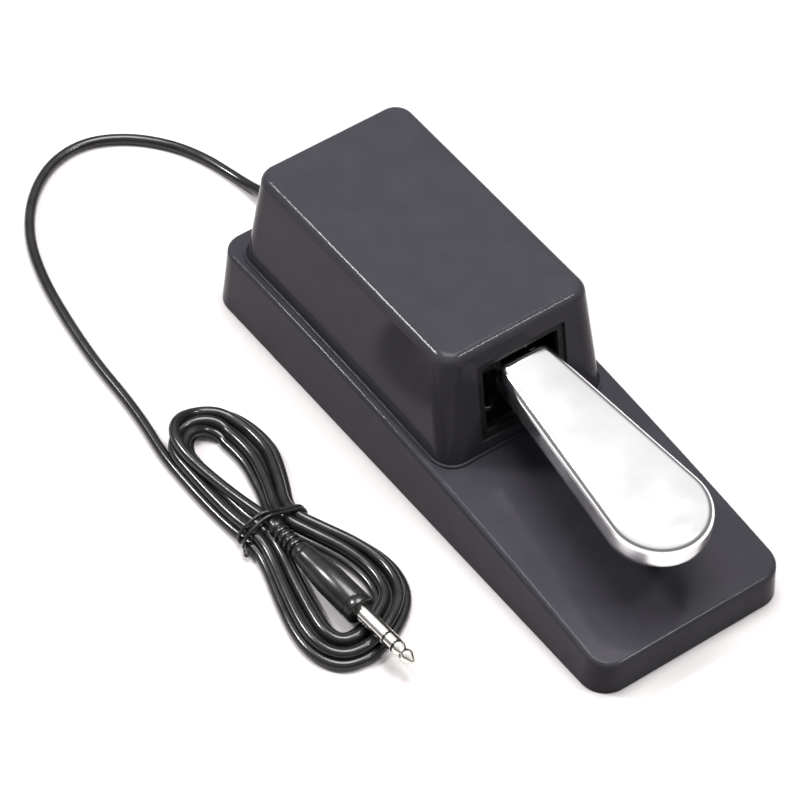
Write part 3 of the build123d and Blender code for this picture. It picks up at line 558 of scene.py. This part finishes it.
def drawn_in(point, middle, steps, layer, lift=0.0):
    """A point of the outline moved towards a lobe's middle line by a number of steps, on a layer."""
    x, y, step = point
    start, end = Vector(middle[0]), Vector(middle[1])
    along = end - start
    share = min(1.0, max(0.0, (Vector((x, y)) - start).dot(along) / along.length_squared))
    inward = (start + share * along - Vector((x, y))).normalized() * steps * step
    return (x + inward.x, y + inward.y, FLOOR_Z + layer * layer_rise(step) + lift)


def waist_point(side, steps, layer):
    """A point where a turn passes the waist, lifted by the tie under it."""
    x = (WAIST_LEFT if side < 0 else WAIST_RIGHT) - side * steps * WAIST_STEP
    return (x, WAIST_Y, FLOOR_Z + TIE_LIFT + layer * layer_rise(WAIST_STEP))


def upper_lobe_points(steps, layer, next_steps, next_layer, count):
    """The first points of a turn's upper lobe, on the way over to the next turn."""
    points = []
    for index in range(count):
        share = CHANGE_OVER.get(index - len(UPPER_LOBE), 0.0)
        crossing = CROSSING_LIFT if layer == 1 and 0.1 < share < 0.9 else 0.0
        climb = min(1.0, CLIMB_RATE * share) if next_layer > layer else share
        points.append(drawn_in(
            UPPER_LOBE[index], UPPER_MIDDLE, steps + share * (next_steps - steps),
            layer + climb * (next_layer - layer), crossing,
        ))
    return points


def hank_points():
    """Control points of the turns: down the left, round the lower lobe, up the right, over the top."""
    points = []
    last = len(TURN_STEPS) - 1
    for turn, (steps, layer) in enumerate(zip(TURN_STEPS, TURN_LAYERS)):
        following = min(turn + 1, last)
        points += [drawn_in(point, UPPER_MIDDLE, steps, layer) for point in LEFT_SIDE]
        points.append(waist_point(-1, steps, layer))
        points += [drawn_in(point, LOWER_MIDDLE, steps, layer) for point in LOWER_LOBE]
        points.append(waist_point(1, steps, layer))
        count = len(UPPER_LOBE) - (LAST_TURN_CUT if turn == last else 0)
        points += upper_lobe_points(steps, layer, TURN_STEPS[following], TURN_LAYERS[following], count)
    return points


def add_cord():
    """The whole cord as one smooth line, from the strain relief to the plug's boot."""
    points = FREE_ROUTE + hank_points() + LAST_STRETCH + [PLUG_START]
    cord = add_tube(
        "cord_line", CORD_DIAMETER_MM / 2, "cord_black", [(points, False)], roundness=6, smoothness=6
    )
    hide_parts("cord", "cord_hank")
    return cord, cord.data.splines[0].calc_length()


# ---- Plug: ribbed boot, barrel and three contacts turned on one axis ----
BOOT, BARREL, SLEEVE, RING, GAP = 17.0, 34.5, 15.0, 4.0, 1.0
PIN_RADIUS, INSULATOR_RADIUS, CORE_RADIUS = 3.175, 2.9, 1.6
SHAFT = BOOT + BARREL
RING_START = SHAFT + SLEEVE + GAP
TIP_START = RING_START + RING + GAP
RIBS, FIRST_RIB, RIB_PITCH = 5, 2.2, 2.8
SHOULDER, SHOULDER_RADIUS = 0.8, 4.42
TAPER, TAPER_RISE, TAPER_STEPS = 15.0, 1.6, 12
TIP_SHAPE = [
    (0.0, 1.6), (0.0, 2.88), (0.1, 2.98), (1.1, 2.98), (1.4, 2.9), (2.1, 2.6), (2.8, 2.33), (3.2, 2.24),
    (3.6, 2.33), (4.2, 2.6), (4.8, 2.83), (5.4, 2.9), (5.9, 2.82), (6.8, 2.35), (7.8, 1.72), (8.7, 1.12),
    (9.1, 0.8), (9.33, 0.45), (9.4, 0.0),
]


def boot_profile():
    """The boot's ribs, which widen towards the barrel, with a rounded groove after each."""
    profile = [(0.0, 2.2), (0.0, 2.8), (0.3, 3.1)]
    for step in range(RIBS):
        start = FIRST_RIB + RIB_PITCH * step
        rib = 3.1 + start / BOOT
        groove = 2.45 + 0.09 * step
        profile += [
            (start - 0.3, rib), (start, rib - 0.15), (start + 0.2, groove + 0.15), (start + 0.6, groove),
            (start + 1.0, groove + 0.15), (start + 1.2, rib - 0.1), (start + 1.5, rib + 0.07),
        ]
    return profile + [(BOOT, 4.1)]


def barrel_profile():
    """The barrel: a soft shoulder, a long taper, a plain body and a rounded front collar."""
    profile = [(BOOT - 0.5, 3.4), (BOOT, 3.7), (BOOT + 0.25, 4.15), (BOOT + SHOULDER, SHOULDER_RADIUS)]
    for step in range(1, TAPER_STEPS + 1):
        share = step / TAPER_STEPS
        swell = 0.5 - 0.5 * cos(pi * share)
        rise = TAPER_RISE * (0.55 * share + 0.45 * swell)
        profile.append((BOOT + SHOULDER + TAPER * share, SHOULDER_RADIUS + rise))
    profile += [(SHAFT - 4.6, 6.16), (SHAFT - 4.3, 6.05), (SHAFT - 4.0, 5.85), (SHAFT - 3.7, 6.05)]
    profile += [(SHAFT - 3.4, 6.2), (SHAFT - 0.9, 6.2), (SHAFT - 0.4, 6.05), (SHAFT - 0.1, 5.7)]
    return profile + [(SHAFT, 5.3), (SHAFT, 3.0)]


def shaft_ring(start, length, radius):
    """A contact or insulator: a plain ring with barely broken edges."""
    end = start + length
    return [
        (start, CORE_RADIUS), (start, radius - 0.1), (start + 0.1, radius), (end - 0.1, radius),
        (end, radius - 0.1), (end, CORE_RADIUS), (start, CORE_RADIUS),
    ]


def add_plug():
    """The plug's pieces, each turned on the plug's axis."""
    start = Vector(PLUG_START) * MM
    axis = Vector(PLUG_END) * MM - start
    core = [(SHAFT, 0.0), (SHAFT, CORE_RADIUS)]
    tip = core + [(TIP_START + distance, radius) for distance, radius in TIP_SHAPE]
    insulators = turned(shaft_ring(RING_START - GAP, GAP, INSULATOR_RADIUS), start, axis)
    insulators += turned(shaft_ring(TIP_START - GAP, GAP, INSULATOR_RADIUS), start, axis)
    shapes = [
        ("plug_boot", turned(boot_profile(), start, axis), "plug_black"),
        ("plug_barrel", turned(barrel_profile(), start, axis), "plug_black"),
        ("plug_sleeve", turned(shaft_ring(SHAFT, SLEEVE, PIN_RADIUS), start, axis), "plug_nickel"),
        ("plug_ring", turned(shaft_ring(RING_START, RING, PIN_RADIUS), start, axis), "plug_nickel"),
        ("plug_insulators", insulators, "plug_black"),
        ("plug_tip", turned(tip, start, axis), "plug_nickel"),
    ]
    return [add_mesh(f"{name}_turned", faces, slot, "base", [name]) for name, faces, slot in shapes]


# ---- Tie: thin wire wound twice round the hank's waist, its ends twisted together ----
TIE_WIRE = 0.72
# One wrap as (x, z), from the left over the top and back along the floor.
TIE_OUTLINE = [
    (-110.9, 3.6), (-110.5, 7.0), (-108.3, 9.7), (-105.2, 11.8), (-102.3, 13.5), (-99.4, 13.8),
    (-96.4, 12.9), (-93.0, 11.5), (-88.9, 10.4), (-85.4, 9.2), (-83.2, 6.8), (-83.0, 3.6),
    (-84.2, 1.2), (-87.5, 0.74), (-97.0, 0.74), (-106.5, 0.74), (-109.8, 1.2),
]
# The wraps' place along the hank: its middle, half their distance, their wave and their slant.
WRAP_MIDDLE_X, WRAP_Y, WRAP_APART, WRAP_WAVE, WRAP_SLANT = -97.0, 9.6, 1.3, 0.55, 0.08
TWIST_START, TWIST_HEADING = Vector((-110.9, 8.6, 3.6)), Vector((-0.35, -0.95, -0.3))
TWIST_POINTS, TWIST_PITCH, TWIST_TURN, TWIST_RADIUS = 8, 0.55, 1.1, 0.75


def wrap_points(side):
    """One wrap of the tie round the hank's waist, to one side of the middle."""
    points = []
    for index, (x, z) in enumerate(TIE_OUTLINE):
        wave = WRAP_WAVE * cos(2 * pi * index / len(TIE_OUTLINE))
        slant = WRAP_SLANT * (x - WRAP_MIDDLE_X)
        points.append((x, WRAP_Y + side * (WRAP_APART + wave) - slant, z))
    return points


def twist_points(side):
    """One end of the wire, which winds round the other as both lead away from the hank."""
    points = []
    for step in range(TWIST_POINTS):
        turn = side * pi / 2 + step * TWIST_TURN
        around = Vector((0.0, TWIST_RADIUS * cos(turn), TWIST_RADIUS * sin(turn)))
        points.append(TWIST_START + TWIST_PITCH * step * TWIST_HEADING + around)
    return points


def add_tie():
    """Two wraps side by side and a short twisted pair of ends."""
    lines = []
    for side in (-1, 1):
        lines.append((wrap_points(side), True))
        lines.append((twist_points(side), False))
    tie = add_tube("tie_line", TIE_WIRE, "tie_black", lines)
    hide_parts("hank_tie")
    return tie


cord, cord_length = add_cord()
on_the_cord = [*add_plug(), add_tie()]


# ---- Floor and light ----
FLOOR_HALF = 4.0
FLOOR_COLOUR, FLOOR_ROUGHNESS, FLOOR_SPECULAR = (0.395, 0.375, 0.376, 1.0), 0.95, 0.05
# The room's grey by the upward part of a direction: 0 is level or downwards, 1 is straight up.
SKY = ((0.0, 0.26), (0.30, 0.20), (0.52, 0.34), (0.72, 0.90), (0.9, 1.0))
SKY_STRENGTH = 1.0


def add_floor():
    """A plain pale floor."""
    mesh = bpy.data.meshes.new("floor")
    corners = [
        (-FLOOR_HALF, -FLOOR_HALF, 0), (FLOOR_HALF, -FLOOR_HALF, 0),
        (FLOOR_HALF, FLOOR_HALF, 0), (-FLOOR_HALF, FLOOR_HALF, 0),
    ]
    mesh.from_pydata(corners, [], [(0, 1, 2, 3)])
    floor = bpy.data.objects.new("floor", mesh)
    material, _, shader = new_material("floor")
    shader.inputs["Base Color"].default_value = FLOOR_COLOUR
    shader.inputs["Roughness"].default_value = FLOOR_ROUGHNESS
    shader.inputs["Specular IOR Level"].default_value = FLOOR_SPECULAR
    mesh.materials.append(material)
    bpy.context.collection.objects.link(floor)


def add_room():
    """A room that is bright overhead and dark at eye level."""
    world = bpy.data.worlds.new("room")
    world.use_nodes = True
    tree = world.node_tree
    heading = tree.nodes.new("ShaderNodeTexCoord")
    split = tree.nodes.new("ShaderNodeSeparateXYZ")
    tree.links.new(heading.outputs["Generated"], split.inputs["Vector"])
    sky = tree.nodes.new("ShaderNodeValToRGB")
    stops = sky.color_ramp.elements
    stops[0].position, stops[-1].position = SKY[0][0], SKY[-1][0]
    for height, _ in SKY[1:-1]:
        stops.new(height)
    for stop, (_, grey) in zip(stops, SKY):
        stop.color = (grey, grey, grey, 1.0)
    tree.links.new(split.outputs["Z"], sky.inputs["Fac"])
    tree.links.new(sky.outputs["Color"], tree.nodes["Background"].inputs["Color"])
    tree.nodes["Background"].inputs["Strength"].default_value = SKY_STRENGTH
    bpy.context.scene.world = world


def add_softbox(name, heading, distance, size, power):
    """A rectangular area light in a direction from the object, facing it."""
    data = bpy.data.lights.new(name, "AREA")
    data.shape = "RECTANGLE"
    data.size, data.size_y = size
    data.energy = power
    light = bpy.data.objects.new(name, data)
    light.location = Vector(heading).normalized() * distance
    light.rotation_euler = light.location.to_track_quat("Z", "Y").to_euler()
    bpy.context.collection.objects.link(light)


add_floor()
add_room()
add_softbox("overhead", (0.12, 0.12, 1.0), 2.2, (1.15, 1.15), 90.0)
add_softbox("left_strip", (-0.45, 0.51, 0.74), 2.0, (0.28, 0.24), 44.0)
add_softbox("front_strip", (0.41, -0.40, 0.82), 2.0, (0.28, 0.16), 18.0)
bpy.context.scene.view_settings.view_transform = "Standard"
